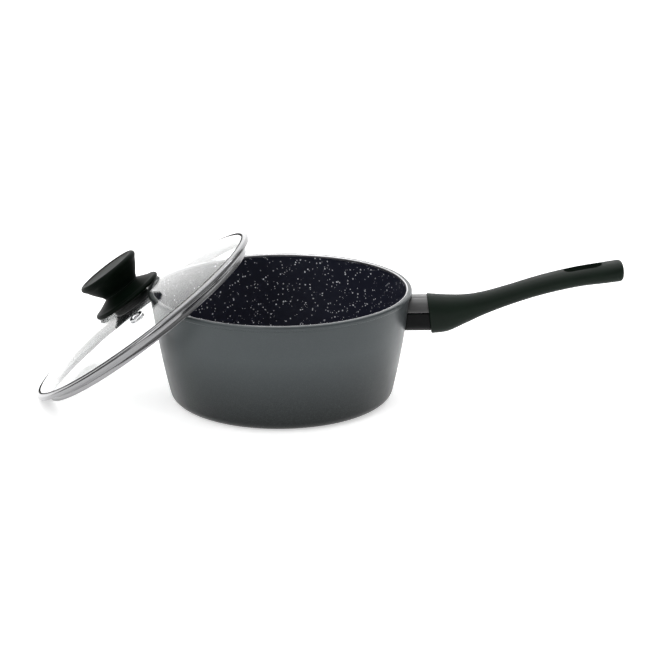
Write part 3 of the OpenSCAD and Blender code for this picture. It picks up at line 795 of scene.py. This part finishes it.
def handle_ring(x, z, half_h, half_w, slope, sides=72):
    """One rounded rectangle round the handle, leaning back by slope."""
    ring = []
    for k in range(sides):
        t = 2 * math.pi * k / sides
        up = half_h * math.copysign(abs(math.sin(t)) ** squareness, math.sin(t))
        side = half_w * math.copysign(abs(math.cos(t)) ** squareness, math.cos(t))
        ring.append((x - slope * (z + up - handle_z), side, z + up))
    return ring


rings = []
front_edge, lean_reach = 0.6, 0.3
for step in range(0, 4):
    turn = math.radians(90 * step / 4)
    inset = front_edge * (1 - math.sin(turn))
    x = handle_x + front_edge * (1 - math.cos(turn))
    rise, half_h, half_w = handle_at(0)
    rings.append(handle_ring(x, handle_mid + rise * handle_rise,
                             half_h - inset, half_w - inset, front_tan))
last_share = stations[-1, 0]
for share in np.linspace(front_edge / handle_l, last_share, 110):
    rise, half_h, half_w = handle_at(share)
    slope = front_tan * max(0, 1 - share / lean_reach) ** 2
    rings.append(handle_ring(handle_x + share * handle_l, handle_mid + rise * handle_rise,
                             half_h, half_w, slope))
end_flat, end_round = 0.9743, 3.0
bulge = (1 - last_share) * handle_l * end_flat
rise, half_h, half_w = handle_at(last_share)
for step in range(1, 12):
    turn = math.radians(90 * step / 12)
    shrink = end_round * (1 - math.cos(turn)) / math.cos(turn / 2)
    rings.append(handle_ring(handle_x + last_share * handle_l + bulge * math.sin(turn),
                             handle_mid + rise * handle_rise, half_h - shrink, half_w - shrink, 0))


def loft(name, rings):
    """A closed mesh, in metres, through rings of points in millimetres."""
    sides = len(rings[0])
    vertices = [tuple(c * MM for c in point) for ring in rings for point in ring]
    faces = []
    for i in range(len(rings) - 1):
        for k in range(sides):
            a, b = i * sides + k, i * sides + (k + 1) % sides
            faces.append((a, a + sides, b + sides, b))
    faces.append(tuple(range(sides)))
    faces.append(tuple(range((len(rings) - 1) * sides, len(rings) * sides))[::-1])
    mesh = bpy.data.meshes.new(name)
    mesh.from_pydata(vertices, [], faces)
    tidy = bmesh.new()
    tidy.from_mesh(mesh)
    bmesh.ops.recalc_face_normals(tidy, faces=tidy.faces)
    tidy.to_mesh(mesh)
    tidy.free()
    return mesh


def bar(name, x0, x1, r, sides=64):
    """A round bar along the handle's screw."""
    turns = np.linspace(0, 2 * math.pi, sides, endpoint=False)
    circle = [(r * math.cos(t), r * math.sin(t)) for t in turns]
    ends = [[(x, y, handle_z + z) for y, z in circle] for x in (x0, x1)]
    return piece_from(name, loft(name, ends))


print("handle rings", len(rings))


# %% [markdown]
# ### The slot and the well of the screw
# In the mould these hollows are left by cores. Here they are cutters: a long hole that opens out at both
# ends for the slot, and two bars for the way and the well of the screw. The boss is joined on first.

# %% Slot and well
slot_l, slot_w, slot_back = 30.0, 12.0, 30.7
slot_x = handle_x + handle_l - slot_back
slot_share = (slot_x - handle_x) / handle_l
slot_rise = (handle_at(slot_share + 0.02)[0] - handle_at(slot_share - 0.02)[0]) * handle_rise
slot_tilt = math.atan(slot_rise / (0.04 * handle_l))
slot_z = handle_mid + handle_at(slot_share)[0] * handle_rise
SLOT = Matrix.Translation((slot_x * MM, 0, slot_z * MM)) @ Matrix.Rotation(-slot_tilt, 4, "Y")
flare_levels = [(-12, 2.9), (-8.2, 1.3), (-7.4, 0.75), (-6.9, 0.42), (-6.3, 0.16), (-5.6, 0.0)]
flare_levels += [(-h, out) for h, out in flare_levels[::-1]]
slot_rings = []
for h, out in flare_levels:
    ring = []
    for side in (1, -1):
        for t in np.linspace(-90, 90, 21) + (0 if side > 0 else 180):
            r = slot_w / 2 + out
            ring.append((side * (slot_l - slot_w) / 2 + r * math.cos(math.radians(t)),
                         r * math.sin(math.radians(t)), h))
    slot_rings.append(ring)
slot_mesh = loft("slot_cutter", slot_rings)
slot_mesh.transform(SLOT)
slot_cutter = piece_from("slot_cutter", slot_mesh)
stud_end, seat_x = handle_x - 5.5, handle_x + 22.5
handle = piece_from("handle_moulded", loft("handle_moulded", rings))
boss_r, way_r, screw_well_r, well_l = 9.0, 2.8, 5.0, 76
cut(handle, [bar("boss", stud_end, handle_x + 8, boss_r)], "UNION")
cut(handle, [bar("screw_way", stud_end - 1, seat_x + 1, way_r),
             bar("screw_well", seat_x, seat_x + well_l, screw_well_r), slot_cutter])
handle.data.polygons.foreach_set("use_smooth", [True] * len(handle.data.polygons))
handle.data.set_sharp_from_angle(angle=math.radians(32))
dress(handle, soft_touch, "pan", "soft_touch", "handle")


# %% [markdown]
# ## The guard
# Between the hot wall and the handle sits a tube pressed from sheet in two shells, with a fine gap for a
# seam. Its section is a rounded rectangle, its back end follows the wall and its front end the handle's
# face. Each shell is a strip of points round the section, given a thickness and then fine rounded edges.

# %% Guard section
guard_h, guard_w, guard_t = 28.4, 27.0, 1.5
seam_up, seam_gap = 3.0, 0.8
guard_power = 2 / 2.5


def guard_section(turn, inset):
    """A point (y, z) of the section, at a turn in degrees from the side, drawn in by inset."""
    c, q = math.cos(math.radians(turn)), math.sin(math.radians(turn))
    y = (guard_w / 2 - inset) * math.copysign(abs(c) ** guard_power, c)
    z = (guard_h / 2 - inset) * math.copysign(abs(q) ** guard_power, q)
    return y, z


def seam_reach(middle, seam_h, inset):
    """How many degrees a shell goes round from its middle before it meets the seam."""
    sign = 1 if middle < 180 else -1
    near, far = 0.0, 170.0
    for _ in range(40):
        turn = (near + far) / 2
        if (guard_section(middle + turn, inset)[1] - seam_h) * sign > 0:
            near = turn
        else:
            far = turn
    return near


print("upper shell reaches", round(seam_reach(90, seam_up, 0.0), 2), "degrees each way")


# %% [markdown]
# ### Faces of a shell
# A pressed shell has an outer and an inner face that run side by side. Each is a grid of points, from one
# side of the seam round to the other, and from the wall out to the handle.

# %% Guard faces
across, along = 72, 10
wall_gap, handle_gap = 0.03, 0.05


def guard_grid(middle, seam_h, inset):
    """Rows of points on one face of a shell."""
    limit_turn = seam_reach(middle, seam_h, inset)
    grid = []
    for i in range(across + 1):
        y, z = guard_section(middle - limit_turn + 2 * limit_turn * i / across, inset)
        height_z = handle_z + z
        back_x = math.sqrt(wall_r(height_z) ** 2 - y * y) + wall_gap
        front_x = handle_x - front_tan * z - handle_gap
        grid.append([(back_x + (front_x - back_x) * j / along, y, height_z)
                     for j in range(along + 1)])
    return grid


print("points on a face", (across + 1) * (along + 1))


# %% [markdown]
# ### The two shells
# The two faces are closed along the seam and at both ends, and every sharp edge gets a fine rounding, as
# the edge of a sheet has once it is pressed and lacquered.

# %% Guard shells
edge_round, edge_angle = 0.3 * MM, math.radians(40)


def guard_shell(name, middle, seam_h):
    """One shell of the guard: its middle as a turn in degrees, and the height of its seam edge."""
    shell = bmesh.new()
    outer, inner = [
        [[shell.verts.new([c * MM for c in point]) for point in row] for row in grid]
        for grid in [guard_grid(middle, seam_h, inset) for inset in (0.0, guard_t)]
    ]
    for i in range(across):
        for j in range(along):
            shell.faces.new((outer[i][j], outer[i + 1][j], outer[i + 1][j + 1], outer[i][j + 1]))
            shell.faces.new((inner[i][j], inner[i][j + 1], inner[i + 1][j + 1], inner[i + 1][j]))
    for i in range(across):
        for j in (0, along):
            shell.faces.new((outer[i][j], inner[i][j], inner[i + 1][j], outer[i + 1][j]))
    for j in range(along):
        for i in (0, across):
            shell.faces.new((outer[i][j], outer[i][j + 1], inner[i][j + 1], inner[i][j]))
    bmesh.ops.recalc_face_normals(shell, faces=shell.faces)
    edges = [e for e in shell.edges
             if len(e.link_faces) == 2 and e.calc_face_angle() > edge_angle]
    bmesh.ops.bevel(shell, geom=edges, offset=edge_round, segments=3, affect="EDGES", profile=0.5)
    mesh = bpy.data.meshes.new(name)
    shell.to_mesh(mesh)
    shell.free()
    return piece_from(name, mesh, 50)


upper = guard_shell("guard_upper_pressed", 90, seam_up + seam_gap / 2)
dress(upper, guard_lacquer, "pan", "guard_lacquer", "guard_upper")
# The lower shell takes the near-black copy of the guard lacquer, which is painted shade and not a
# different finish.
lower = guard_shell("guard_lower_pressed", 270, seam_up - seam_gap / 2)
dress(lower, guard_painted_shade, "pan", "guard_lacquer", "guard_lower")


# %% [markdown]
# ## Pieces that keep the model's own shape
# Flat washers, screws, gaskets, the insert and the perforated plate are right as they come. They only
# need their finishes.

# %% Finishes on the model's own pieces
kept = {"base_plate": plate_steel, "handle_stud": stud_metal, "handle_screw": small_steel,
        "handle_washer": small_steel, "knob_insert": brass, "knob_gasket": silicone,
        "cup_gasket": silicone, "cup_washer": small_steel, "knob_screw": small_steel}
for name, material in kept.items():
    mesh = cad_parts[name].data
    mesh.materials.clear()
    mesh.materials.append(material)
print("kept as they are:", ", ".join(kept))


# %% [markdown]
# ## Floor and light
# The floor is a wide sheet of white acrylic, lit a little from below, so that it stays white and only
# faint shadows are left. Behind it a white sheet curves up. It is only a few metres wide: the glass and the steel mirror its bright
# front and the grey room beside it, and that change of tone is what draws their edges.

# %% Floor and backdrop
scene = bpy.context.scene
scene.view_settings.view_transform = "Standard"


def strip(name, profile, half_width):
    """A sheet made by drawing a line of (y, z) points out sideways, in metres."""
    vertices = [(side * half_width, y, z) for y, z in profile for side in (-1, 1)]
    faces = [(2 * i, 2 * i + 1, 2 * i + 3, 2 * i + 2) for i in range(len(profile) - 1)]
    mesh = bpy.data.meshes.new(name)
    mesh.from_pydata(vertices, [], faces)
    return piece_from(name, mesh)


acrylic, _, _ = new_finish("acrylic", (0.9, 0.9, 0.9), 0.9,
                           Emission_Color=(1, 1, 1, 1), Emission_Strength=0.55)
curve_start, curve_r, wall_height = 2.4, 0.8, 3.0
curve = arc(curve_start, curve_r, curve_r, curve_r, -90, 0, 16)
floor = strip("floor", [(-12, 0), (12, 0)], 12)
backdrop_line = [(y, z + 0.001) for y, z in curve] + [(curve_start + curve_r, wall_height)]
backdrop = strip("backdrop", backdrop_line, 2.6)
for sheet in (floor, backdrop):
    sheet.data.materials.append(acrylic)
print("floor and backdrop", [sheet.name for sheet in (floor, backdrop)])


# %% [markdown]
# ### Lamps and the room
# One wide softbox hangs overhead. A second washes the backdrop, which the glass mirrors as a pale veil.
# A smaller one fills from the front left, and a weak card at the right lights the handle's side.
# The room itself is grey at the height of the table and lighter towards the ceiling.

# %% Lamps
def softbox(name, where, towards, size, power):
    """A square area light aimed at a point."""
    data = bpy.data.lights.new(name, "AREA")
    data.shape = "RECTANGLE"
    data.size, data.size_y = size
    data.energy = power
    lamp = bpy.data.objects.new(name, data)
    lamp.location = where
    aim_line = Vector(towards) - Vector(where)
    lamp.rotation_euler = aim_line.to_track_quat("-Z", "Y").to_euler()
    bpy.context.scene.collection.objects.link(lamp)


softbox("overhead", (0.0, 0.3, 1.7), (0, 0, 0), (2.6, 1.8), 20)
softbox("backdrop_wash", (0.0, 1.3, 2.4), (0, 3.2, 0.5), (3.0, 0.6), 40)
softbox("front_fill", (-0.9, -1.7, 1.5), (0, 0, 0.05), (1.0, 1.0), 13)
softbox("side_card", (2.2, -0.7, 0.6), (0, 0, 0.1), (0.9, 0.6), 2)

world = bpy.data.worlds.new("room")
scene.world = world
world.use_nodes = True
sky = world.node_tree
direction = sky.nodes.new("ShaderNodeTexCoord").outputs["Generated"]
aim = sky.nodes.new("ShaderNodeSeparateXYZ")
sky.links.new(direction, aim.inputs["Vector"])
room_tone = remap(sky, aim.outputs["Z"], 0.15, 0.8, 0.0, 0.8)
sky.links.new(mix_colours(sky, room_tone, (0.0, 0.0, 0.0), (1.0, 1.0, 1.0)),
              sky.nodes["Background"].inputs["Color"])
sky.nodes["Background"].inputs["Strength"].default_value = 0.8
